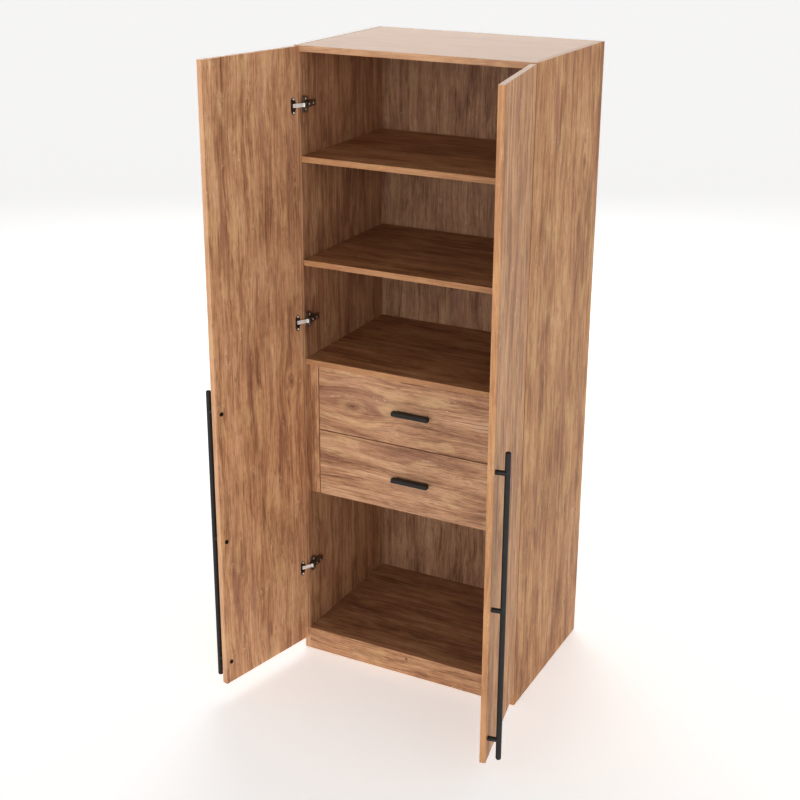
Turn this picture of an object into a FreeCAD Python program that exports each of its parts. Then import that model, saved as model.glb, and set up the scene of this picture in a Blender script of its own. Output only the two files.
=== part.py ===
import FreeCAD, Part
import math
import os

# A two-door armoire in 18 mm board. Millimetres. +Z is up and the front faces -Y.
# The origin is on the floor, at the centre of the carcass's footprint.
# The doors are modelled closed and then turned about their hinge lines to the stored pose, in which
# both stand open. The drawers and shelves are stored pushed home.

V = FreeCAD.Vector

# Driving dimensions
WIDTH = 760.0                # outside of one side panel to the outside of the other
DEPTH = 528.0                # carcass without its doors
HEIGHT = 2000.0
BOARD = 18.0
BACK_BOARD = 3.0
BACK_FACE = 512.0            # front edges of the carcass to the face of the back panel
GROOVE = 8.0                 # how deep the back panel sits in the side panels
GLIDE = 3.0                  # height of the plastic glides under the side panels
FLOOR_TOP = 80.0             # top of the bottom panel and of the plinth rail
SHELF_TOPS = {"upper": 1675.0, "middle": 1356.0, "drawer": 1036.0}
SHELF_SETBACK = 2.0          # shelf edges behind the carcass front
DOOR_INSET = 2.0             # door edge to the outside of the side panel
DOOR_GAP = 3.0               # between the closed doors, and round the drawer fronts
DOOR_REST = 2.0              # closed door to the carcass front
DOOR_BOTTOM, DOOR_TOP = 50.0, 1998.0
OPEN_ANGLE = {"left": 102.0, "right": 100.5}
HINGE_IN = 5.9               # hinge line inwards from the side panel's outer face
HINGE_OUT = 12.3             # hinge line in front of the carcass front
HINGE_HEIGHTS = (315.0, 1162.0, 1828.0)
CUP_R, CUP_DEPTH = 13.0, 11.5
CUP_EDGE = 18.0              # door edge to the cup's centre
BAR_D = 16.0                 # long handle bar
BAR_TOP, BAR_BOTTOM = 1025.0, 57.0
BAR_OUT = 33.0               # door face to the bar's centre line
BAR_EDGE = 21.5              # door's free edge to the bar
STANDOFF_D = 14.0
STANDOFF_HEIGHTS = (122.0, 542.0, 962.0)
DRAWER_SETBACK = 30.0        # drawer fronts behind the carcass front, so the handles clear the doors
FILLER = 28.0                # width of the upright strips beside the drawers
DRAWER_FRONT_H = 221.0
DRAWER_BOX_H, DRAWER_BOX_L = 150.0, 450.0
DRAWER_BOARD = 12.0
RUNNER_SPACE = 13.0          # drawer side to filler edge
RUNNER_L = 450.0
PULL_L, PULL_H, PULL_D = 124.0, 13.0, 18.0
PULL_OUT = 9.0               # drawer front to the pull's back
PULL_PITCH = 96.0
PULL_POST_R = 4.0

HALF_W = WIDTH / 2
INNER = HALF_W - BOARD       # side panel's inner face
FRONT = -DEPTH / 2           # carcass front plane
BACK = DEPTH / 2
BACK_Y = FRONT + BACK_FACE
DOOR_W = (WIDTH - 2 * DOOR_INSET - DOOR_GAP) / 2
DOOR_FACE = FRONT - DOOR_REST - BOARD     # outer face of a closed door
DOOR_BACK = FRONT - DOOR_REST             # inner face of a closed door
FIXED_PANELS = {"top": HEIGHT, "upper": SHELF_TOPS["upper"], "drawer": SHELF_TOPS["drawer"],
                "bottom": FLOOR_TOP}
DRAWER_Y = FRONT + DRAWER_SETBACK
BAY_TOP = SHELF_TOPS["drawer"] - BOARD
BAY_BOTTOM = BAY_TOP - 2 * (DOOR_GAP + DRAWER_FRONT_H)
BAY_HALF = INNER - FILLER                 # middle of the bay to the filler's edge
BOX_HALF = BAY_HALF - RUNNER_SPACE
DRAWER_Z = {"lower": BAY_BOTTOM, "upper": BAY_BOTTOM + DRAWER_FRONT_H + DOOR_GAP}
BOX_Y0 = DRAWER_Y + BOARD

os.makedirs("parts", exist_ok=True)


def save(node, shape):
    shape.exportStep("parts/%s.step" % node)


def box(x0, x1, y0, y1, z0, z1):
    return Part.makeBox(x1 - x0, y1 - y0, z1 - z0, V(x0, y0, z0))


def rod(radius, start, direction, length):
    return Part.makeCylinder(radius, length, V(*start), V(*direction))


def join(shapes):
    """Several separate solids as one shape."""
    return Part.makeCompound(shapes)


def cut(shape, tools):
    for tool in tools:
        shape = shape.cut(tool)
    return shape


def mirror(shape):
    """The same piece for the other side, across the plane X = 0."""
    return shape.mirror(V(0, 0, 0), V(1, 0, 0))


def both(shape):
    return join([shape, mirror(shape)])


def plate_xy(points, height):
    """A plate with an outline in plan."""
    corners = [V(x, y, 0) for x, y in points]
    return Part.Face(Part.makePolygon(corners + corners[:1])).extrude(V(0, 0, height))


def round_bar(radius, start, direction, length, edge):
    """A bar with rounded ends."""
    bar = rod(radius, start, direction, length)
    rims = [e for e in bar.Edges if e.Curve.TypeId == "Part::GeomCircle"]
    return bar.makeFillet(edge, rims)


def side_name(sign):
    return "left" if sign < 0 else "right"


# ---- Fastener places shared by the panels ----

CAM_R, CAM_DEPTH, CAM_EDGE = 7.5, 12.5, 34.0
DOWEL_R, DOWEL_L, DOWEL_IN = 4.0, 32.0, 10.0
CLEAR = 0.1                  # radial clearance round dowels and screws
PIN_LINE = 37.0              # front and rear lines of 5 mm holes
PIN_R, PIN_OUT, PIN_IN = 2.5, 8.0, 9.0
PANEL_FIX_Y = (FRONT + 70.0, BACK_Y - 70.0)
MIDDLE_UNDER = SHELF_TOPS["middle"] - BOARD
PLATE_SCREW_Y = 18.0         # mounting plate screws behind the carcass front


def dowel_places():
    """(y, z) of the dowels in each fixed panel's ends."""
    return [(y, top - BOARD / 2) for top in FIXED_PANELS.values() for y in PANEL_FIX_Y]


def dowel(sign, y, z, grow=0.0):
    start = INNER + DOWEL_IN - DOWEL_L - grow
    return rod(DOWEL_R + grow, (sign * start, y, z), (sign, 0, 0), DOWEL_L + 2 * grow)


def cam(sign, y, top, grow=0.0):
    """A cam lock, let into a panel's underside from below."""
    x = sign * (INNER - CAM_EDGE)
    return rod(CAM_R + grow, (x, y + 32.0, top - BOARD - grow), (0, 0, 1), CAM_DEPTH + 2 * grow)


def panel_cuts(top):
    """Dowel holes and cam pockets of one fixed panel."""
    tools = []
    for sign in (-1, 1):
        for y in PANEL_FIX_Y:
            tools.append(dowel(sign, y, top - BOARD / 2, CLEAR))
            tools.append(cam(sign, y, top, CLEAR))
    return tools


# ---- Carcass panels ----

def side_panel():
    """The right side panel, with its back groove, dowel holes, pin holes and spare holes."""
    panel = box(INNER, HALF_W, FRONT, BACK, GLIDE, HEIGHT)
    groove = box(INNER, INNER + GROOVE, BACK_Y, BACK_Y + BACK_BOARD, GLIDE, HEIGHT)
    holes = [dowel(1, y, z, CLEAR) for y, z in dowel_places()]
    for y in (FRONT + PIN_LINE, BACK_Y - PIN_LINE):
        holes.append(rod(PIN_R + CLEAR, (INNER, y, MIDDLE_UNDER - PIN_R), (1, 0, 0), PIN_IN + CLEAR))
    holes.append(rod(PIN_R, (INNER, FRONT + PIN_LINE, 1866.0), (1, 0, 0), PIN_IN))
    holes.append(rod(PIN_R, (INNER, BACK_Y - PIN_LINE, 1689.0), (1, 0, 0), PIN_IN))
    for height in HINGE_HEIGHTS:
        for dz in (-16.0, 16.0):
            holes.append(rod(PIN_R, (INNER, FRONT + PLATE_SCREW_Y, height + dz), (1, 0, 0), PIN_IN))
    return cut(panel, [groove] + holes)


right_side = side_panel()
save("side_panel_right", right_side)
save("side_panel_left", mirror(right_side))

top_slot = box(-INNER, INNER, BACK_Y, BACK_Y + BACK_BOARD, HEIGHT - BOARD, HEIGHT - BOARD + GROOVE)
top_panel = box(-INNER, INNER, FRONT, BACK, HEIGHT - BOARD, HEIGHT)
save("top_panel", cut(top_panel, [top_slot] + panel_cuts(HEIGHT)))

bottom_panel = box(-INNER, INNER, FRONT + BOARD, BACK_Y, FLOOR_TOP - BOARD, FLOOR_TOP)
save("bottom_panel", cut(bottom_panel, panel_cuts(FLOOR_TOP)))

BUMPER_Z, BUMPER_R, BUMPER_T = 60.0, 4.0, 1.5
save("plinth_front", box(-INNER, INNER, FRONT, FRONT + BOARD, GLIDE, FLOOR_TOP))
save("plinth_back", box(-INNER, INNER, BACK_Y - BOARD - 20, BACK_Y - 20, GLIDE, FLOOR_TOP - BOARD))
save("door_bumper", rod(BUMPER_R, (0, FRONT - BUMPER_T, BUMPER_Z), (0, 1, 0), BUMPER_T))

back_edge = INNER + GROOVE - 1
save("back_panel", box(-back_edge, back_edge, BACK_Y, BACK_Y + BACK_BOARD,
                       GLIDE, HEIGHT - BOARD + GROOVE - 1))

for name in ("upper", "drawer"):
    level = SHELF_TOPS[name]
    shelf = box(-INNER, INNER, FRONT + SHELF_SETBACK, BACK_Y, level - BOARD, level)
    save("%s_shelf" % name, cut(shelf, panel_cuts(level)))

# The middle shelf lies loose on four pins, so it can be drawn out and set at another height.
SHELF_PLAY = 1.0
save("middle_shelf", box(-INNER + SHELF_PLAY, INNER - SHELF_PLAY, FRONT + SHELF_SETBACK, BACK_Y - 2,
                         MIDDLE_UNDER, SHELF_TOPS["middle"]))


def shelf_pin(y):
    """A pin in the right side, with a collar against the panel."""
    z = MIDDLE_UNDER - PIN_R
    shank = rod(PIN_R, (INNER - PIN_OUT, y, z), (1, 0, 0), PIN_OUT + PIN_IN)
    collar = rod(PIN_R + 1.5, (INNER - 1.5, y, z - 1.6), (1, 0, 0), 1.5)
    return shank.fuse(collar)


pins = [shelf_pin(y) for y in (FRONT + PIN_LINE, BACK_Y - PIN_LINE)]
save("shelf_pins", join(pins + [mirror(pin) for pin in pins]))

save("dowels", join([dowel(s, y, z) for s in (-1, 1) for y, z in dowel_places()]))
save("cam_locks", join([cam(s, y, top) for s in (-1, 1) for top in FIXED_PANELS.values()
                        for y in PANEL_FIX_Y]))

GLIDE_R = 8.0
glides = [rod(GLIDE_R, (HALF_W - BOARD / 2, y, 0), (0, 0, 1), GLIDE) for y in (FRONT + 45, BACK - 45)]
save("floor_glides", join(glides + [mirror(glide) for glide in glides]))

# ---- Drawer bay ----
# Upright strips close the space beside the fronts, and packers behind them carry the runners.

filler = box(BAY_HALF, INNER, DRAWER_Y, DRAWER_Y + BOARD, BAY_BOTTOM, BAY_TOP)
packer = box(BAY_HALF, INNER, DRAWER_Y + BOARD, DRAWER_Y + BOARD + RUNNER_L + 4, BAY_BOTTOM, BAY_TOP)
save("filler_right", filler)
save("filler_left", mirror(filler))
save("runner_packer_right", packer)
save("runner_packer_left", mirror(packer))

# ---- Drawers ----
# Each runner is three nested channels of folded steel: one on the packer, one between, one on the drawer.

STEEL = 1.2
RUNNER_Z = 60.0              # runner's centre above the bottom of the drawer front
RUNNER_Y0 = BOX_Y0 + 2
MIDDLE_GAP = 0.8             # between the webs of the cabinet and middle channels
FRONT_HALF = BAY_HALF - DOOR_GAP
BOX_END = BOX_Y0 + DRAWER_BOX_L
BOX_INNER = BOX_HALF - DRAWER_BOARD
BOX_UP = 22.0                # underside of the box above the bottom of the drawer front
BACK_DROP = 8.0              # back board's top edge below the sides'
BOTTOM_BOARD, BOTTOM_UP, BOTTOM_GROOVE = 3.0, 9.0, 5.0
PULL_EDGE = 1.2
PULL_SCREW_IN = 8.0          # how far the screws reach into the posts
PULL_HEAD_R, HEAD_T, SCREW_R = 4.5, 2.4, 2.0

# part: (its web's outer face, its lips' edge, half its height)
RUNNER_SHAPES = {
    "cabinet": (BAY_HALF, BAY_HALF - 9.5, 22.5),
    "middle": (BAY_HALF - STEEL - MIDDLE_GAP, BAY_HALF - 10.5, 19.5),
    "drawer": (BOX_HALF, BOX_HALF + 8.5, 16.5),
}


def runner(part, z):
    """One channel on the right of the drawer, with its open side facing the other channels."""
    web, lip, half = RUNNER_SHAPES[part]
    inward = math.copysign(1, lip - web)
    end = RUNNER_Y0 + RUNNER_L
    solid = box(min(web, lip), max(web, lip), RUNNER_Y0, end, z - half, z + half)
    low, high = sorted((web + inward * STEEL, lip + inward))
    return solid.cut(box(low, high, RUNNER_Y0 - 1, end + 1, z - half + STEEL, z + half - STEEL))


def bar_pull(z):
    """A deep rectangular bar with softened edges, across the drawer front."""
    y = DRAWER_Y - PULL_OUT
    bar = box(-PULL_L / 2, PULL_L / 2, y - PULL_D, y, z - PULL_H / 2, z + PULL_H / 2)
    return bar.makeFillet(PULL_EDGE, bar.Edges)


def pull_fixings(z):
    """The posts behind a pull and the screws that hold them from inside the drawer."""
    posts, screws, holes = [], [], []
    for x in (-PULL_PITCH / 2, PULL_PITCH / 2):
        hole = rod(SCREW_R + CLEAR, (x, DRAWER_Y - PULL_SCREW_IN, z), (0, 1, 0), PULL_SCREW_IN + BOARD)
        shank = rod(SCREW_R, (x, DRAWER_Y - PULL_SCREW_IN, z), (0, 1, 0), PULL_SCREW_IN + BOARD)
        head = rod(PULL_HEAD_R, (x, BOX_Y0, z), (0, 1, 0), HEAD_T)
        posts.append(rod(PULL_POST_R, (x, DRAWER_Y - PULL_OUT, z), (0, 1, 0), PULL_OUT).cut(hole))
        screws.append(shank.fuse(head))
        holes.append(hole)
    return join(posts), join(screws), holes


def drawer_side(low):
    """The right-hand side, grooved for the bottom board."""
    side = box(BOX_INNER, BOX_HALF, BOX_Y0, BOX_END, low, low + DRAWER_BOX_H)
    slot_z = low + BOTTOM_UP
    slot = box(BOX_INNER - 1, BOX_INNER + BOTTOM_GROOVE, BOX_Y0 - 1, BOX_END + 1, slot_z, slot_z + BOTTOM_BOARD)
    return side.cut(slot)


def build_drawer(name):
    z0 = DRAWER_Z[name]
    pull_z = z0 + DRAWER_FRONT_H / 2
    posts, screws, holes = pull_fixings(pull_z)
    front = box(-FRONT_HALF, FRONT_HALF, DRAWER_Y, BOX_Y0, z0, z0 + DRAWER_FRONT_H)
    save("%s_drawer_front" % name, cut(front, holes))
    save("%s_drawer_pull" % name, bar_pull(pull_z))
    save("%s_drawer_pull_posts" % name, posts)
    save("%s_drawer_pull_screws" % name, screws)

    low = z0 + BOX_UP
    side = drawer_side(low)
    save("%s_drawer_side_right" % name, side)
    save("%s_drawer_side_left" % name, mirror(side))
    floor = low + BOTTOM_UP
    save("%s_drawer_back" % name, box(-BOX_INNER, BOX_INNER, BOX_END - DRAWER_BOARD, BOX_END,
                                      floor + BOTTOM_BOARD, low + DRAWER_BOX_H - BACK_DROP))
    half = BOX_INNER + BOTTOM_GROOVE - 0.5
    save("%s_drawer_bottom" % name, box(-half, half, BOX_Y0, BOX_END, floor, floor + BOTTOM_BOARD))

    for part in ("cabinet", "middle", "drawer"):
        save("%s_runner_%s" % (name, part), both(runner(part, z0 + RUNNER_Z)))


for drawer in DRAWER_Z:
    build_drawer(drawer)

# ---- Cup hinges: the parts on the side panel ----
# A plate with wings is screwed to the side panel, and an arm with two adjusting screws clips onto it.

PLATE_T = 8.0
WING_Y, WING_HALF = (8.0, 28.0), 24.0     # behind the carcass front, and half the plate's height
SPINE_Y, SPINE_HALF = (4.0, 50.0), 10.0
PLATE_SCREW_Z = 16.0                      # screws above and below the hinge's middle
PLATE_HEAD_R, PLATE_HEAD_SINK = 4.6, 3.0
ARM_T, ARM_Y, ARM_HALF = 9.0, (1.5, 68.0), 8.0
ARM_SCREW_Y, ARM_SCREW_R = (24.0, 47.0), 4.0
ARM_SCREW_SINK, ARM_SCREW_T = 2.0, 1.6
FORK_L, CHEEK = 6.5, 1.5                  # slot in the arm's front end, and the walls above and below it
TAIL_L, TAIL_STEP = 10.0, 4.0
ARM_X0, ARM_X1 = INNER - PLATE_T - ARM_T, INNER - PLATE_T
PLATE_X = INNER - PLATE_T
LINK_X, LINK_Y = INNER - 12.0, FRONT + 3.0    # the link's pivot on the arm
LINK_PIN_R = 1.5


def plate_screw_places(z):
    return [(FRONT + PLATE_SCREW_Y, z + dz) for dz in (-PLATE_SCREW_Z, PLATE_SCREW_Z)]


def mounting_plate(z):
    """The right-hand plate: wings that take the screws and a spine under the arm."""
    wings = box(PLATE_X, INNER, FRONT + WING_Y[0], FRONT + WING_Y[1], z - WING_HALF, z + WING_HALF)
    wings = wings.makeFillet(3.0, [e for e in wings.Edges if abs(e.tangentAt(e.FirstParameter).x) > 0.99])
    spine = box(PLATE_X, INNER, FRONT + SPINE_Y[0], FRONT + SPINE_Y[1], z - SPINE_HALF, z + SPINE_HALF)
    holes = []
    for y, hole_z in plate_screw_places(z):
        holes.append(rod(PIN_R + CLEAR, (PLATE_X - 1, y, hole_z), (1, 0, 0), PLATE_T + 2))
        holes.append(rod(PLATE_HEAD_R, (PLATE_X, y, hole_z), (1, 0, 0), PLATE_HEAD_SINK))
    return cut(wings.fuse(spine).removeSplitter(), holes)


def hinge_arm(z):
    """A bar with two screws, forked at its front end, where a pin carries the link."""
    y0, y1 = FRONT + ARM_Y[0], FRONT + ARM_Y[1]
    arm = box(ARM_X0, ARM_X1, y0, y1, z - ARM_HALF, z + ARM_HALF)
    edges = [e for e in arm.Edges if abs(e.tangentAt(e.FirstParameter).y) > 0.99
             and e.BoundBox.XMin < ARM_X0 + 0.1]
    arm = arm.makeFillet(2.5, edges)
    slot = ARM_HALF - CHEEK
    fork = box(ARM_X0 - 1, ARM_X1 + 1, y0 - 1, y0 + FORK_L, z - slot, z + slot)
    tail = box(ARM_X0 - 1, ARM_X0 + TAIL_STEP, y1 - TAIL_L, y1 + 1, z - ARM_HALF - 1, z + ARM_HALF + 1)
    sinks = [rod(ARM_SCREW_R, (ARM_X0, FRONT + y, z), (1, 0, 0), ARM_SCREW_SINK) for y in ARM_SCREW_Y]
    pin = rod(LINK_PIN_R, (LINK_X, LINK_Y, z - slot), (0, 0, 1), 2 * slot)
    return cut(arm, [fork, tail] + sinks).fuse(pin)


def arm_screws(z):
    """Slotted discs set in the arm."""
    discs = []
    for y in ARM_SCREW_Y:
        x = ARM_X0 + ARM_SCREW_SINK - ARM_SCREW_T
        disc = rod(ARM_SCREW_R - 0.4, (x, FRONT + y, z), (1, 0, 0), ARM_SCREW_T)
        slot = box(x - 1, x + 0.8, FRONT + y - ARM_SCREW_R, FRONT + y + ARM_SCREW_R, z - 0.5, z + 0.5)
        discs.append(disc.cut(slot))
    return discs


def plate_screws(z):
    screws = []
    for y, hole_z in plate_screw_places(z):
        head = rod(PLATE_HEAD_R - 0.4, (PLATE_X + 0.6, y, hole_z), (1, 0, 0), PLATE_HEAD_SINK - 0.6)
        shank = rod(PIN_R - 0.1, (PLATE_X + 2, y, hole_z), (1, 0, 0), PLATE_T + PIN_IN - 3)
        screws.append(head.fuse(shank))
    return screws


side_hinge_parts = {"hinge_plates": [mounting_plate(z) for z in HINGE_HEIGHTS],
                    "hinge_arms": [hinge_arm(z) for z in HINGE_HEIGHTS],
                    "hinge_screws": [s for z in HINGE_HEIGHTS for s in arm_screws(z) + plate_screws(z)]}
for name, shapes in side_hinge_parts.items():
    save("%s_right" % name, join(shapes))
    save("%s_left" % name, mirror(join(shapes)))


# ---- Doors, modelled closed as the right door, mirrored for the left and then opened ----

HINGE_LINE = V(HALF_W - HINGE_IN, FRONT - HINGE_OUT, 0)
DOOR_EDGE = HALF_W - DOOR_INSET           # hinge edge of the closed right door
FREE_EDGE = DOOR_EDGE - DOOR_W
CUP_X = DOOR_EDGE - CUP_EDGE
BAR_X = FREE_EDGE + BAR_EDGE
BAR_Y = DOOR_FACE - BAR_OUT


CUP_WALL, FLANGE_T = 1.0, 1.3
FLANGE_IN, FLANGE_SHIFT = 7.0, -0.5       # flange's flat side and its offset from the cup's centre
EAR_SCREW, EAR_IN = 20.0, 2.0             # screw holes above and below the cup, and inwards of it
PAN_R, PAN_EDGE = 6.5, 1.0                # pan heads of the handle's screws
PAN_CROSS = (3.0, 0.6)                    # half length and half width of the driver's cross


def cup_hole(z):
    return rod(CUP_R + CLEAR, (CUP_X, DOOR_BACK - CUP_DEPTH - CLEAR, z), (0, 1, 0), CUP_DEPTH + 1)


def door_panel():
    panel = box(FREE_EDGE, DOOR_EDGE, DOOR_FACE, DOOR_BACK, DOOR_BOTTOM, DOOR_TOP)
    holes = [cup_hole(z) for z in HINGE_HEIGHTS]
    holes += [rod(PIN_R, (BAR_X, DOOR_FACE - 1, z), (0, 1, 0), BOARD + 2) for z in STANDOFF_HEIGHTS]
    return cut(panel, holes)


def hinge_cup(z):
    """A pressed cup with a winged flange on the door's face, open towards the carcass."""
    cup = rod(CUP_R, (CUP_X, DOOR_BACK - CUP_DEPTH, z), (0, 1, 0), CUP_DEPTH)
    outline = [(-FLANGE_IN, -10), (-FLANGE_IN, 10), (-2, 25), (6, 25), (12, 18), (12, -18), (6, -25), (-2, -25)]
    flange = plate_xy([(CUP_X - x + FLANGE_SHIFT, y) for x, y in outline], FLANGE_T)
    flange.rotate(V(0, 0, 0), V(1, 0, 0), 90)
    flange.translate(V(0, DOOR_BACK + FLANGE_T, z))
    hollow = rod(CUP_R - CUP_WALL, (CUP_X, DOOR_BACK - CUP_DEPTH + CUP_WALL, z), (0, 1, 0), 2 * CUP_DEPTH)
    bores = [rod(2.2, (CUP_X - EAR_IN, DOOR_BACK - 1, z + dz), (0, 1, 0), 5) for dz in (-EAR_SCREW, EAR_SCREW)]
    return cut(cup.fuse(flange), [hollow] + bores)


def long_bar():
    return round_bar(BAR_D / 2, (BAR_X, BAR_Y, BAR_BOTTOM), (0, 0, 1), BAR_TOP - BAR_BOTTOM, 5.0)


def standoffs(bar):
    posts = []
    for z in STANDOFF_HEIGHTS:
        post = rod(STANDOFF_D / 2, (BAR_X, BAR_Y, z), (0, 1, 0), BAR_OUT)
        bore = rod(SCREW_R + CLEAR, (BAR_X, DOOR_FACE - PULL_SCREW_IN - 1, z), (0, 1, 0), BOARD)
        posts.append(cut(post, [bar, bore]))
    return join(posts)


def handle_screws():
    """Pan-headed screws from inside the door into the standoffs."""
    screws = []
    long, wide = PAN_CROSS
    y0, y1 = DOOR_BACK + HEAD_T / 2, DOOR_BACK + 2 * HEAD_T
    for z in STANDOFF_HEIGHTS:
        shank = rod(SCREW_R, (BAR_X, DOOR_FACE - PULL_SCREW_IN, z), (0, 1, 0), BOARD + PULL_SCREW_IN)
        head = rod(PAN_R, (BAR_X, DOOR_BACK, z), (0, 1, 0), HEAD_T)
        rims = [e for e in head.Edges if e.Curve.TypeId == "Part::GeomCircle"
                and e.BoundBox.YMin > DOOR_BACK + 1]
        cross = box(BAR_X - long, BAR_X + long, y0, y1, z - wide, z + wide)
        cross = cross.fuse(box(BAR_X - wide, BAR_X + wide, y0, y1, z - long, z + long))
        screws.append(head.makeFillet(PAN_EDGE, rims).fuse(shank).cut(cross))
    return join(screws)


LINK_HALF = 6.0
LINK_T = 2.0
LINK_TIP = (21.0, 1.5)       # link's far end: from the door's hinge edge, and below its inner face


def on_open_door(angle, from_edge, below):
    """Where a point in the right door stands when the door is open by angle."""
    point = V(DOOR_EDGE - from_edge, DOOR_BACK - below, 0)
    return FreeCAD.Rotation(V(0, 0, 1), angle).multVec(point - HINGE_LINE) + HINGE_LINE


def hinge_link(z, angle):
    """The plate that reaches from the arm into the cup of the open door."""
    start = V(LINK_X, LINK_Y, 0)
    run = on_open_door(angle, *LINK_TIP) - start
    plate = box(0, run.Length, -LINK_T / 2, LINK_T / 2, -LINK_HALF, LINK_HALF)
    eye = rod(3.2, (0, 0, -LINK_HALF), (0, 0, 1), 2 * LINK_HALF)
    bore = rod(1.6, (0, 0, -LINK_HALF - 1), (0, 0, 1), 2 * LINK_HALF + 2)
    link = plate.fuse(eye).cut(bore)
    link.rotate(V(0, 0, 0), V(0, 0, 1), math.degrees(math.atan2(run.y, run.x)))
    link.translate(start + V(0, 0, z))
    return link


def build_door(sign):
    side = side_name(sign)
    angle = OPEN_ANGLE[side]
    bar = long_bar()
    pieces = {"panel": door_panel(),
              "bar": bar,
              "standoffs": standoffs(bar),
              "handle_screws": handle_screws(),
              "hinge_cups": join([hinge_cup(z) for z in HINGE_HEIGHTS])}
    for shape in pieces.values():
        shape.rotate(HINGE_LINE, V(0, 0, 1), angle)
    pieces["hinge_links"] = join([hinge_link(z, angle) for z in HINGE_HEIGHTS])
    for name, shape in pieces.items():
        save("%s_door_%s" % (side, name), shape if sign > 0 else mirror(shape))


for sign in (-1, 1):
    build_door(sign)

print("hinge line right %.4f %.4f" % (HINGE_LINE.x, HINGE_LINE.y))
print("link pivot right %.4f %.4f" % (LINK_X, LINK_Y))
print("bay %.1f to %.1f, half %.1f, box half %.1f" % (BAY_BOTTOM, BAY_TOP, BAY_HALF, BOX_HALF))
print("drawers %s, box y %.1f" % (DRAWER_Z, BOX_Y0))
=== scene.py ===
import bpy
import math
from mathutils import Matrix, Vector


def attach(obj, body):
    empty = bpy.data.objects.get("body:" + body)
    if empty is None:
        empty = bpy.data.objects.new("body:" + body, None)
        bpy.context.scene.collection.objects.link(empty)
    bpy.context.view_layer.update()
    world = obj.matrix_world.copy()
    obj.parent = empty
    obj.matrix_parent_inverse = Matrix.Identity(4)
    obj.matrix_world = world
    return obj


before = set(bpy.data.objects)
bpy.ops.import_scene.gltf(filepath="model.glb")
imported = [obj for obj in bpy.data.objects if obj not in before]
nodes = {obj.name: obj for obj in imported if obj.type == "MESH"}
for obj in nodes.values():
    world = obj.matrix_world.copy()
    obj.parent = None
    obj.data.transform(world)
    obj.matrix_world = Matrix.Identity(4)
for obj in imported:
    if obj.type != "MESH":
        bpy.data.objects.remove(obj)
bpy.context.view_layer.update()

# ---- The camera ----
# It stands in front and to the right, above the top of the open armoire, and looks down at it through a
# lens that is a little longer than normal.

CAMERA_PLACE = (1.8107, -3.8313, 2.5339)
YAW, PITCH, ROLL = math.radians(27.277), math.radians(-19.808), math.radians(0.28)
camera_data = bpy.data.cameras.new("camera")
camera_data.sensor_width = 36.0
camera_data.lens = 63.78
camera_data.shift_y = -0.05
camera_data.clip_end = 60.0
camera = bpy.data.objects.new("camera", camera_data)
bpy.context.collection.objects.link(camera)
aim = Matrix.Rotation(YAW, 4, "Z") @ Matrix.Rotation(math.pi / 2 + PITCH, 4, "X")
camera.matrix_world = Matrix.Translation(CAMERA_PLACE) @ aim @ Matrix.Rotation(ROLL, 4, "Z")
bpy.context.scene.camera = camera

# ---- Floor and studio light ----
# Matt white studio paper on the floor of a white room. Most light comes through a broad, low window in front
# on the right, and a wide soft lamp high up behind gives the top its pale sheen.


def linear(hex_colour):
    """An sRGB hex colour as linear RGBA."""
    parts = [int(hex_colour[i:i + 2], 16) / 255 for i in (1, 3, 5)]
    return tuple(c / 12.92 if c <= 0.04045 else ((c + 0.055) / 1.055) ** 2.4 for c in parts) + (1.0,)


def add(tree, kind, values=None, **settings):
    """Adds one node. Each value is a constant, a socket, or a node, which gives its first live output."""
    node = tree.nodes.new(kind)
    for key, value in settings.items():
        setattr(node, key, value)
    for key, value in (values or {}).items():
        if isinstance(value, bpy.types.Node):
            value = next(output for output in value.outputs if output.enabled)
        if isinstance(value, bpy.types.NodeSocket):
            tree.links.new(value, node.inputs[key])
        else:
            node.inputs[key].default_value = value
    return node


def new_material(name):
    material = bpy.data.materials.new(name)
    material.use_nodes = True
    material.node_tree.nodes.clear()
    return material, material.node_tree


paper, tree = new_material("matt_white_paper")
place = add(tree, "ShaderNodeTexCoord").outputs["Object"]
fibre = add(tree, "ShaderNodeTexNoise", {"Vector": place, "Scale": 35.0, "Detail": 3.0})
tone = add(tree, "ShaderNodeMix", {0: fibre, 6: linear("#f0efee"), 7: linear("#f5f4f3")}, data_type="RGBA")
# the paper glows a little, as it does under lamps that are out of view
shader = add(tree, "ShaderNodeBsdfPrincipled", {
    "Base Color": tone, "Roughness": 0.9, "Emission Color": linear("#ffffff"), "Emission Strength": 0.45})
add(tree, "ShaderNodeOutputMaterial", {"Surface": shader})

FLOOR_SIZE = 90.0  # metres, so that its edge is lost in the white
bpy.ops.object.select_all(action="DESELECT")
bpy.ops.mesh.primitive_plane_add(size=FLOOR_SIZE, location=(0, 0, 0))
floor = bpy.context.object
floor.name = "studio_floor"
floor.data.materials.append(paper)

TOWARDS_WINDOW = (0.45, -0.89, 0.0)
WALL_FOOT, WALL_LIGHT, WINDOW_LIGHT = 1.1, 0.45, 3.25
room = bpy.data.worlds.new("white_room")
room.use_nodes = True
tree = room.node_tree
tree.nodes.clear()
way = add(tree, "ShaderNodeTexCoord").outputs["Generated"]
height = add(tree, "ShaderNodeSeparateXYZ", {0: way}).outputs["Z"]
walls = add(tree, "ShaderNodeMapRange", {0: height, 1: 0.0, 2: 0.12, 3: WALL_FOOT, 4: WALL_LIGHT})
facing = add(tree, "ShaderNodeVectorMath", {0: way, 1: TOWARDS_WINDOW}, operation="DOT_PRODUCT")
window = add(tree, "ShaderNodeMapRange", {0: facing, 1: 0.2, 2: 0.95, 3: 0.0, 4: WINDOW_LIGHT},
             interpolation_type="SMOOTHSTEP")
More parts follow.
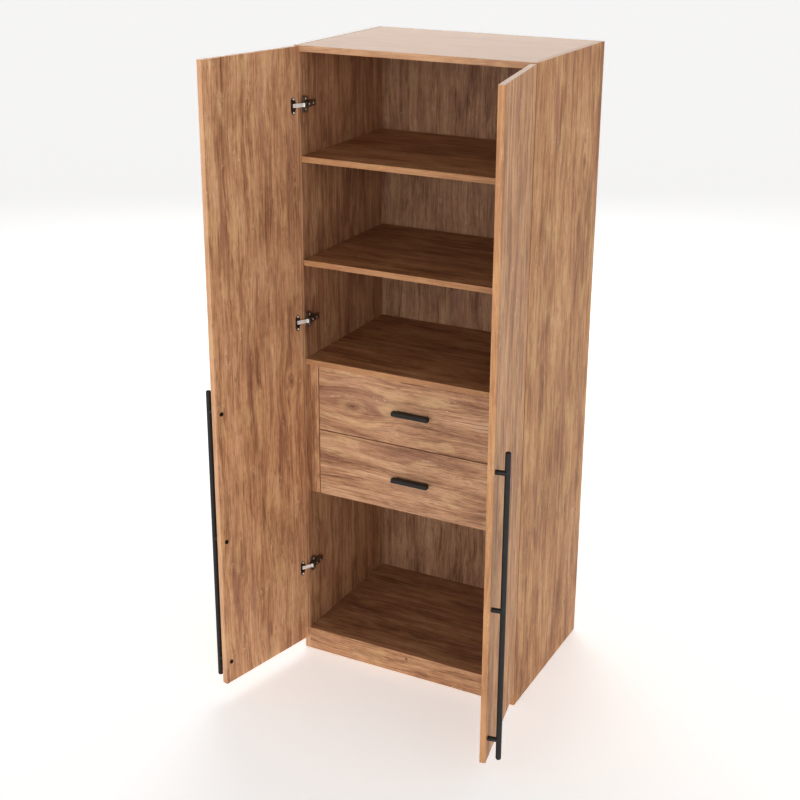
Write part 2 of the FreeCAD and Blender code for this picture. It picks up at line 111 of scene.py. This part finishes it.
# the window fades out upwards, well below the ceiling
upper_edge = add(tree, "ShaderNodeMapRange", {0: height, 1: 0.05, 2: 0.5, 3: 1.0, 4: 0.0})
window = add(tree, "ShaderNodeMath", {0: window, 1: upper_edge}, operation="MULTIPLY")
light = add(tree, "ShaderNodeMath", {0: walls, 1: window}, operation="ADD")
glow = add(tree, "ShaderNodeBackground", {"Color": light})
add(tree, "ShaderNodeOutputWorld", {"Surface": glow})
bpy.context.scene.world = room
bpy.context.scene.view_settings.view_transform = "Standard"
bpy.context.scene.view_settings.gamma = 0.8

ARMOIRE_TOP = Vector((0, 0, 1.9))
lamp_data = bpy.data.lights.new("rear_softbox", "AREA")
lamp_data.shape = "RECTANGLE"
lamp_data.size, lamp_data.size_y, lamp_data.energy = 4.0, 3.0, 110
lamp = bpy.data.objects.new("rear_softbox", lamp_data)
bpy.context.collection.objects.link(lamp)
lamp.location = (-2.4, 4.2, 4.0)
lamp.rotation_euler = (lamp.location - ARMOIRE_TOP).to_track_quat("Z", "Y").to_euler()

# ---- Side panels ----
# 18 mm chipboard faced on both sides with printed melamine paper, pressed so that the pores show. The grain
# stands upright, and an edge band of a paler print covers the cut edges.

X, Y, Z = (1, 0, 0), (0, 1, 0), (0, 0, 1)
# the directions in which the grain's width and its length are read
UPRIGHT = {"across": (1, 1, 0), "along": Z}
LEVEL = {"across": (0, 1, 1), "along": X}
NO_KNOT = (9.0, 9.0)  # far outside every board


def laminate(name, across, along, thick, seed, knot=NO_KNOT, turn=0.0, tone_and_painted_light=1.0, painted_sheen=0.0, colour=1.0):
    """Printed board, with the width of its grain along `across` and the length along `along`.

    `thick` is the direction through the board, `seed` picks its print, `knot` is where its one knot lies, in
    metres, and `turn` is how far the board stands turned about Z. `tone_and_painted_light` makes the print
    darker or
    lighter: painted shade or painted light on most boards, and partly a board's own tone on the back.
    `painted_sheen` lays a pale tan over the faces, a painted sheen that flattens the print, and `colour` is
    the strength of its hue.
    """
    material, t = new_material(name)
    coords = add(t, "ShaderNodeTexCoord")
    place = add(t, "ShaderNodeMapping", {"Vector": coords.outputs["Object"], "Rotation": (0, 0, turn)})
    normal = add(t, "ShaderNodeMapping", {"Vector": coords.outputs["Normal"], "Rotation": (0, 0, turn)})
    u = add(t, "ShaderNodeVectorMath", {0: place, 1: across}, operation="DOT_PRODUCT")
    v = add(t, "ShaderNodeVectorMath", {0: place, 1: along}, operation="DOT_PRODUCT")
    depth = add(t, "ShaderNodeVectorMath", {0: place, 1: thick}, operation="DOT_PRODUCT")
    # on the short ends the band's print runs along the edge
    ahead = add(t, "ShaderNodeVectorMath", {0: normal, 1: along}, operation="DOT_PRODUCT")
    ahead = add(t, "ShaderNodeMath", {0: ahead}, operation="ABSOLUTE")
    on_end = add(t, "ShaderNodeMath", {0: ahead, 1: 0.7}, operation="GREATER_THAN")
    u = add(t, "ShaderNodeMix", {0: on_end, 2: u, 3: depth})
    v = add(t, "ShaderNodeMix", {0: on_end, 2: v, 3: u})

    # the grain parts to flow round the knot, which is twice as long as it is wide
    from_knot = add(t, "ShaderNodeMath", {0: u, 1: knot[0]}, operation="SUBTRACT")
    along_knot = add(t, "ShaderNodeMath", {0: v, 1: knot[1]}, operation="SUBTRACT")
    along_knot = add(t, "ShaderNodeMath", {0: along_knot, 1: 0.5}, operation="MULTIPLY")
    radius = add(t, "ShaderNodeCombineXYZ", {0: from_knot, 1: along_knot})
    radius = add(t, "ShaderNodeVectorMath", {0: radius}, operation="LENGTH").outputs["Value"]
    near = add(t, "ShaderNodeMapRange", {0: radius, 1: 0.0, 2: 0.09, 3: -0.75, 4: 0.0},
               interpolation_type="SMOOTHSTEP")
    u = add(t, "ShaderNodeMath", {0: from_knot, 1: near, 2: u}, operation="MULTIPLY_ADD")
    grain = add(t, "ShaderNodeCombineXYZ", {0: u, 1: v, 2: seed})

    # each noise has cells `width` by `length` millimetres, and the first two sway all later ones by up to
    # `sway` metres. Real pores are 0.2 mm wide, and these are drawn at 1.5 mm so that they show.
    noise = {}
    for step, (part, width, length, detail, rough, sway) in enumerate((
            ("wander", 150, 500, 2.0, 0.5, 0.05),
            ("fray", 18, 140, 3.0, 0.5, 0.0045),
            ("fine", 3.4, 150, 3.0, 0.75, 0),
            ("fleck", 7, 55, 3.0, 0.65, 0),
            ("streak", 14, 1000, 4.0, 0.62, 0),
            ("patch", 52, 260, 4.0, 0.58, 0),
            ("plum", 42, 380, 3.0, 0.5, 0),
            ("straw", 36, 150, 2.0, 0.5, 0),
            ("seam", 44, 900, 2.0, 0.5, 0),
            ("crack", 30, 130, 5.0, 0.6, 0),
            ("pore", 1.5, 28, 2.0, 0.5, 0))):
        # each layer reads its own part of the noise
        cells = add(t, "ShaderNodeMapping", {"Vector": grain, "Scale": (1000 / width, 1000 / length, 1),
                                             "Location": (step * 3.7, step * 1.9, step)})
        noise[part] = add(t, "ShaderNodeTexNoise",
                          {"Vector": cells, "Scale": 1.0, "Detail": detail, "Roughness": rough})
        if sway:
            aside = add(t, "ShaderNodeMath", {0: noise[part], 1: sway}, operation="MULTIPLY")
            aside = add(t, "ShaderNodeCombineXYZ", {0: aside})
            grain = add(t, "ShaderNodeVectorMath", {0: grain, 1: aside}, operation="ADD")

    # the start value brings the sum of the four, which are 0.5 on average, to the middle of the ramp
    tone = -0.89
    for part, weight in (("fine", 0.78), ("fleck", 0.42), ("streak", 0.7), ("patch", 0.88)):
        tone = add(t, "ShaderNodeMath", {0: noise[part], 1: weight, 2: tone}, operation="MULTIPLY_ADD")
    ramp = add(t, "ShaderNodeValToRGB", {"Fac": tone})
    stops = ((0.1, "#734f3b"), (0.32, "#a0785c"), (0.5, "#c19876"), (0.66, "#d0a988"), (0.86, "#e0c3a1"))
    while len(ramp.color_ramp.elements) < len(stops):
        ramp.color_ramp.elements.new(0.5)
    for element, (position, hue) in zip(ramp.color_ramp.elements, stops):
        element.position, element.color = position, linear(hue)

    # dark seams and pale cracks follow the lines where their noise crosses one level
    for part, level in (("seam", 0.5), ("crack", 0.64)):
        off = add(t, "ShaderNodeMath", {0: noise[part], 1: level}, operation="SUBTRACT")
        noise[part] = add(t, "ShaderNodeMath", {0: off}, operation="ABSOLUTE")
    # each tint is laid on from `start`, where it is absent, to `full`, where it has its whole `amount`
    printed = ramp
    for part, start, full, amount, tint in (
            (noise["plum"], 0.52, 0.74, 0.55, "#9a6f60"),
            (noise["straw"], 0.54, 0.68, 0.55, "#d6b58b"),
            (noise["seam"], 0.012, 0.0, 0.4, "#774f3a"),
            (noise["crack"], 0.012, 0.0, 0.5, "#e8d3b4"),
            (radius, 0.032, 0.02, 0.3, "#dcbb94"),
            (radius, 0.016, 0.009, 0.45, "#8f6248"),
            (radius, 0.006, 0.002, 0.6, "#6a4731"),
            (noise["pore"], 0.56, 0.7, 0.45, "#6e4d39")):
        mask = add(t, "ShaderNodeMapRange", {0: part, 1: start, 2: full, 4: amount},
                   interpolation_type="SMOOTHSTEP")
        printed = add(t, "ShaderNodeMix", {0: mask, 6: printed, 7: linear(tint)}, data_type="RGBA")
    # the edge band is printed paler and flatter than the faces
    through = add(t, "ShaderNodeVectorMath", {0: normal, 1: thick}, operation="DOT_PRODUCT")
    through = add(t, "ShaderNodeMath", {0: through}, operation="ABSOLUTE")
    # on the faces the same pale tan is laid on as a painted sheen, as strong as the board's sheen setting,
    # which is 0 on all but the top
    band = add(t, "ShaderNodeMapRange", {0: through, 1: 0.6, 2: 0.2, 3: painted_sheen, 4: 0.5})
    printed = add(t, "ShaderNodeMix", {0: band, 6: printed, 7: linear("#cfa888")}, data_type="RGBA")
    # the whole board is then made darker or lighter, which is painted shade or painted light on most boards
    printed = add(t, "ShaderNodeHueSaturation", {"Color": printed, "Value": tone_and_painted_light, "Saturation": colour})

    relief = add(t, "ShaderNodeMath", {0: noise["pore"], 1: -0.7, 2: noise["fine"]}, operation="MULTIPLY_ADD")
    bump = add(t, "ShaderNodeBump", {"Height": relief, "Strength": 0.22, "Distance": 0.0008})
    gloss = add(t, "ShaderNodeMapRange", {0: noise["fine"], 3: 0.36, 4: 0.52})
    # cured melamine is a hard satin resin, with a low grazing shine at this depth of embossing
    board = add(t, "ShaderNodeBsdfPrincipled",
                {"Base Color": printed, "Roughness": gloss, "Normal": bump, "IOR": 1.3})
    add(t, "ShaderNodeOutputMaterial", {"Surface": board})
    return material


def dress(name, material, edge=0.0):
    """Gives a CAD node its finish, and rounds its edges by `edge` metres once its triangles are joined."""
    mesh = nodes[name].data
    mesh.materials.clear()
    mesh.materials.append(material)
    if edge:
        weld = nodes[name].modifiers.new("join", "WELD")
        weld.merge_threshold = 0.00002
        bevel = nodes[name].modifiers.new("edge", "BEVEL")
        bevel.width, bevel.segments = edge, 2
        bevel.limit_method, bevel.angle_limit = "ANGLE", math.radians(40)


BOARD_EDGE = 0.0007  # metres of rounding where the band meets the face
dress("side_panel_left", laminate("left_side_walnut_laminate", **UPRIGHT, thick=X, seed=1.3, knot=(0.5, 1.2)),
      BOARD_EDGE)
# the right side is painted darker and stronger in hue, painted shade that offsets the bright, pale light of
# the window on that face
dress("side_panel_right", laminate("right_side_walnut_laminate", **UPRIGHT, thick=X, seed=3.4,
                                   knot=(0.52, 1.66), tone_and_painted_light=0.93, colour=1.14), BOARD_EDGE)

# ---- Top, bottom and plinth ----
# The same board with its grain from side to side. The top and the bottom lie between the sides, held by dowels
# and cam locks. The bottom meets the back of the front plinth rail, and rests on the rear one.

# the top's faces are painted a pale, flat tan, a painted sheen of the lamp behind
dress("top_panel", laminate("top_walnut_laminate", **LEVEL, thick=Z, seed=11.4, painted_sheen=0.86), BOARD_EDGE)
# the bottom is painted darker, painted shade inside the cabinet
dress("bottom_panel", laminate("bottom_walnut_laminate", **LEVEL, thick=Z, seed=14.7, tone_and_painted_light=0.92), BOARD_EDGE)
dress("plinth_front", laminate("plinth_walnut_laminate", **LEVEL, thick=Y, seed=18.0), BOARD_EDGE)
dress("plinth_back", laminate("rear_plinth_walnut_laminate", **LEVEL, thick=Y, seed=21.3), BOARD_EDGE)

# ---- Dowels and cam locks ----
# Turned beech pegs, glued into the panels' ends, and round locks cast in zinc alloy, which are turned with
# a screwdriver to draw each joint tight.


def finish_of(name, dark, pale, rough, spot, stretch=(1, 1, 1), metallic=0.0, bumps=0.2, deep=0.0003):
    """A plain finish whose tone and gloss vary in spots that are `spot` millimetres across.

    `stretch` draws the spots out along X, Y and Z, and `bumps` is how strong their relief is, `deep` metres.
    """
    material, t = new_material(name)
    place = add(t, "ShaderNodeMapping", {"Vector": add(t, "ShaderNodeTexCoord").outputs["Object"],
                                         "Scale": tuple(1000 / (spot * along) for along in stretch)})
    grain = add(t, "ShaderNodeTexNoise", {"Vector": place, "Scale": 1.0, "Detail": 3.0, "Roughness": 0.6})
    cloud = add(t, "ShaderNodeTexNoise", {"Vector": place, "Scale": 0.07, "Detail": 2.0})
    mottle = add(t, "ShaderNodeMath", {0: grain, 1: cloud}, operation="ADD")
    low, high = 0.7, 1.3  # nearly all of the sum of two noises lies between these
    spread = add(t, "ShaderNodeMapRange", {0: mottle, 1: low, 2: high})
    tint = add(t, "ShaderNodeMix", {0: spread, 6: linear(dark), 7: linear(pale)}, data_type="RGBA")
    gloss = add(t, "ShaderNodeMapRange", {0: mottle, 1: low, 2: high, 3: rough - 0.06, 4: rough + 0.06})
    bump = add(t, "ShaderNodeBump", {"Height": grain, "Strength": bumps, "Distance": deep})
    skin = add(t, "ShaderNodeBsdfPrincipled",
               {"Base Color": tint, "Roughness": gloss, "Normal": bump, "Metallic": metallic})
    add(t, "ShaderNodeOutputMaterial", {"Surface": skin})
    return material


# beech shows short brown flecks, drawn 1.2 mm wide and ten times as long
beech = finish_of("turned_beech", "#b98d5f", "#d6b384", 0.6, 1.2, (10, 1, 1))
# zinc alloy comes out of its die dull grey, with a fine sandy skin
cast_zinc = finish_of("die_cast_zinc", "#8d8e8f", "#b3b3b2", 0.42, 0.8, metallic=1.0)
dress("dowels", beech)
dress("cam_locks", cast_zinc)

# ---- Back ----
# A 3 mm sheet of hardboard with the same pattern printed straight onto its paint, which leaves it a little
# greyer. It sits in grooves in the two sides and in a slot in the top.

# its print is also darker, partly the board's own tone and partly painted shade at the back of the cabinet
dress("back_panel", laminate("back_walnut_print", **UPRIGHT, thick=Y, seed=41.0, tone_and_painted_light=0.84, colour=0.93))

# ---- Shelves ----
# Laminated boards with banded edges. The upper one and the one over the drawers are fixed with dowels and
# cam locks, and the middle one lies loose on four plated steel pins.

for number, name in enumerate(("upper_shelf", "middle_shelf", "drawer_shelf")):
    # the shelves are painted darker and richer in hue, painted shade inside the cabinet
    board = laminate(name + "_walnut_laminate", **LEVEL, thick=Z, seed=24.6 + 3.3 * number,
                     tone_and_painted_light=0.9, colour=1.1)
    dress(name, board, BOARD_EDGE)
# zinc plate is a bright blue-grey, with faint cloudy spots that are a few millimetres across
zinc_plate = finish_of("bright_zinc_plate", "#9ea2a6", "#c9cccd", 0.32, 2.5, metallic=1.0, bumps=0.08)
dress("shelf_pins", zinc_plate)

# ---- Fillers beside the drawers ----
# Upright strips of the same board, set back from the front, that leave the drawers room to pass the hinges.
# The packers behind them carry the drawer runners.

STRIP_EDGE = 0.0006
for number, (name, thick) in enumerate((("filler_left", Y), ("filler_right", Y),
                                        ("runner_packer_left", X), ("runner_packer_right", X))):
    # the strips and packers are painted lighter, painted light in the shade beside the drawers
    board = laminate(name + "_walnut_laminate", **UPRIGHT, thick=thick, seed=6.2 + 1.7 * number, tone_and_painted_light=1.12)
    dress(name, board, STRIP_EDGE)

# ---- Drawers ----
# Laminated fronts on boxes of foil-wrapped chipboard with hardboard bottoms in grooves. Each front has a
# deep bar pull of powder-coated metal on two posts, screwed on from inside the box.

# the foil is printed with a plain sandy linen, whose threads are drawn 1.5 mm apart so that they show
linen_foil = finish_of("linen_print_foil", "#a3835f", "#b89a76", 0.5, 1.5, (3, 3, 1), bumps=0.1)
# powder coat bakes to a soft black skin with a fine orange peel, and looks charcoal where the light is on it
black_coat = finish_of("black_powder_coat", "#252424", "#323130", 0.48, 1.4, bumps=0.35)
# black phosphate leaves the screws a dull brown-black
black_phosphate = finish_of("black_phosphate_steel", "#241d19", "#3a312b", 0.45, 1.0, metallic=0.6)
FOIL_EDGE = 0.0004
for drawer, seed, knot in (("upper", 34.5, (0.66, -0.21)), ("lower", 37.8, NO_KNOT)):
    # the fronts are painted lighter and paler in hue, painted light on fronts that stand back under the shelf
    board = laminate(drawer + "_drawer_walnut_laminate", **LEVEL, thick=Y, seed=seed, knot=knot,
                     tone_and_painted_light=1.07, colour=0.93)
    dress(drawer + "_drawer_front", board, BOARD_EDGE)
    for part in ("side_left", "side_right", "back"):
        dress(drawer + "_drawer_" + part, linen_foil, FOIL_EDGE)
    dress(drawer + "_drawer_bottom", linen_foil)
    for part in ("pull", "pull_posts"):
        dress(drawer + "_drawer_" + part, black_coat)
    dress(drawer + "_drawer_pull_screws", black_phosphate)

# ---- Drawer runners ----
# Three channels of folded, zinc-plated steel on each side. The outer one is fixed to the packer, the inner
# one to the box, and the middle one rides between them. The balls and cages between them aren't modelled.

for drawer in ("upper", "lower"):
    for part in ("cabinet", "middle", "drawer"):
        dress(drawer + "_runner_" + part, zinc_plate)

# ---- Doors ----
# Laminated boards, banded on all four edges, which hang on cup hinges and stand open. A long round bar of
# powder-coated metal stands off each one on three posts, held by pan-headed screws from behind.

DOOR_EDGE = 0.0008
DOOR_TURN = {"left": math.radians(-102.0), "right": math.radians(100.5)}
# the left door is painted lighter, painted light on the face that the right door shades, and the right door is
# painted stronger in hue to offset the window's pale light on it
for side, seed, knot, tone_and_painted_light, colour in (("left", 51.0, (0.1, 0.98), 1.16, 1.0),
                                        ("right", 55.3, (0.4, 1.2), 1.0, 1.12)):
    # turned back, the grain follows the door's own width
    board = laminate(side + "_door_walnut_laminate", **UPRIGHT, thick=Y, seed=seed, knot=knot,
                     turn=-DOOR_TURN[side], tone_and_painted_light=tone_and_painted_light, colour=colour)
    dress(side + "_door_panel", board, DOOR_EDGE)
    for part in ("bar", "standoffs"):
        dress(side + "_door_" + part, black_coat)
    dress(side + "_door_handle_screws", black_phosphate)

# ---- Cup hinges ----
# Pressed steel with a bright nickel plate: a cup let into the door, a short link, and an arm that clips onto
# a cast plate on the side panel. Two screws set the arm, and two hold the plate.

# the links and screws are painted near white and only partly metallic, a painted highlight of the lamps on
# their nickel
nickel_painted_highlight = finish_of("nickel_plate_painted_highlight", "#ece8e0", "#ffffff", 0.34, 1.2, metallic=0.35, bumps=0.06)
# inside the cup, on the arms and on the cast plate the nickel is greyer and fully metallic, without the
# painted highlight
satin_nickel = finish_of("satin_nickel_plate", "#8b8780", "#b4afa6", 0.3, 1.2, metallic=1.0, bumps=0.1)
for side in ("left", "right"):
    dress(side + "_door_hinge_links", nickel_painted_highlight)
    dress(side + "_door_hinge_cups", satin_nickel)
    dress("hinge_arms_" + side, satin_nickel)
    dress("hinge_plates_" + side, satin_nickel)
    dress("hinge_screws_" + side, nickel_painted_highlight)

# ---- Hinge cup screws ----
# Nickel-plated pan-headed screws, two to each cup, that hold its flange to the door. Their low domes are
# pressed with a cross for the driver.

SHANK_R, SHANK_L = 0.002, 0.001
CUP_HEIGHTS = (0.315, 1.162, 1.828)
EAR_HOLES = (-0.02, 0.02)  # below and above each cup's middle
HINGE_LINE = (0.3741, -0.2763)  # the upright line on which the right door turns
SEAT = (-0.0161, 0.0111)  # from that line to the middle of a screw's shank, on the closed right door

bpy.ops.object.select_all(action="DESELECT")
bpy.ops.mesh.primitive_cylinder_add(vertices=24, radius=SHANK_R, depth=SHANK_L, location=(0, 0, 0))
screw = bpy.context.object
bpy.ops.object.mode_set(mode="EDIT")
bpy.ops.mesh.select_mode(type="FACE")
bpy.ops.mesh.select_all(action="DESELECT")
bpy.ops.object.mode_set(mode="OBJECT")
for face in screw.data.polygons:
    face.select = face.normal.z > 0.9
bpy.ops.object.mode_set(mode="EDIT")
# the head widens from the shank, rises straight, draws in to a dome and ends in a flat crown
for rise, spread in ((0, 1.7), (0.0007, 1.0), (0.0006, 0.85), (0.0003, 0.8), (0, 0.8)):
    bpy.ops.mesh.extrude_region_move(TRANSFORM_OT_translate={"value": (0, 0, rise)})
    bpy.ops.transform.resize(value=(spread, spread, 1), center_override=(0, 0, 0))
bpy.ops.object.mode_set(mode="OBJECT")
# the crown's rim is drawn in between the four arms of the cross, and its face is then pressed down
crown = max(v.co.z for v in screw.data.vertices)
for v in screw.data.vertices:
    reach = v.co.xy.length
    on_rim = v.co.z > crown - 0.00005 and reach < 0.0019
    if on_rim and max(abs(v.co.x), abs(v.co.y)) < 0.96 * reach:
        v.co.x, v.co.y = 0.45 * v.co.x, 0.45 * v.co.y
bpy.ops.object.mode_set(mode="EDIT")
bpy.ops.mesh.extrude_region_move(TRANSFORM_OT_translate={"value": (0, 0, -0.0008)})
bpy.ops.transform.resize(value=(0.6, 0.6, 1), center_override=(0, 0, 0))
bpy.ops.mesh.select_all(action="SELECT")
bpy.ops.mesh.normals_make_consistent(inside=False)
bpy.ops.object.mode_set(mode="OBJECT")

for side, sign in (("left", -1), ("right", 1)):
    hinge_line = Matrix.Translation((sign * HINGE_LINE[0], HINGE_LINE[1], 0))
    on_door = hinge_line @ Matrix.Rotation(DOOR_TURN[side], 4, "Z")
    heads = []
    for height in CUP_HEIGHTS:
        for rise in EAR_HOLES:
            head = screw.copy()
            head.data = screw.data.copy()
            bpy.context.collection.objects.link(head)
            # every cross has stopped at an angle of its own
            cross = Matrix.Rotation(0.35 + 9 * height + 40 * rise, 4, "Z")
            seat = Matrix.Translation((sign * SEAT[0], SEAT[1], height + rise))
            head.data.transform(on_door @ seat @ Matrix.Rotation(-math.pi / 2, 4, "X") @ cross)
            heads.append(head)
    bpy.ops.object.select_all(action="DESELECT")
    for head in heads:
        head.select_set(True)
    bpy.context.view_layer.objects.active = heads[0]
    bpy.ops.object.join()
    heads[0].name = side + "_cup_screws"
    # near white, a painted highlight like the links
    heads[0].data.materials.append(nickel_painted_highlight)
    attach(heads[0], side + "_door")
bpy.data.objects.remove(screw)

# ---- Glides and door bumper ----
# Brown plastic discs under the side panels keep them off a damp floor, and a soft clear dot on the plinth
# quiets the doors.

# moulded polyethylene has a waxy skin with faint flow marks
brown_plastic = finish_of("moulded_brown_polyethylene", "#2a201a", "#3a2d25", 0.5, 3.0, bumps=0.08)
dress("floor_glides", brown_plastic)
# soft polyurethane lets the board's colour through
clear_dot, tree = new_material("clear_polyurethane")
place = add(tree, "ShaderNodeTexCoord").outputs["Object"]
haze = add(tree, "ShaderNodeTexNoise", {"Vector": place, "Scale": 600.0, "Detail": 2.0})
tone = add(tree, "ShaderNodeMix", {0: haze, 6: linear("#b58f6c"), 7: linear("#c7a482")}, data_type="RGBA")
shader = add(tree, "ShaderNodeBsdfPrincipled", {"Base Color": tone, "Roughness": 0.3, "IOR": 1.5,
                                                "Transmission Weight": 0.5})
add(tree, "ShaderNodeOutputMaterial", {"Surface": shader})
dress("door_bumper", clear_dot)
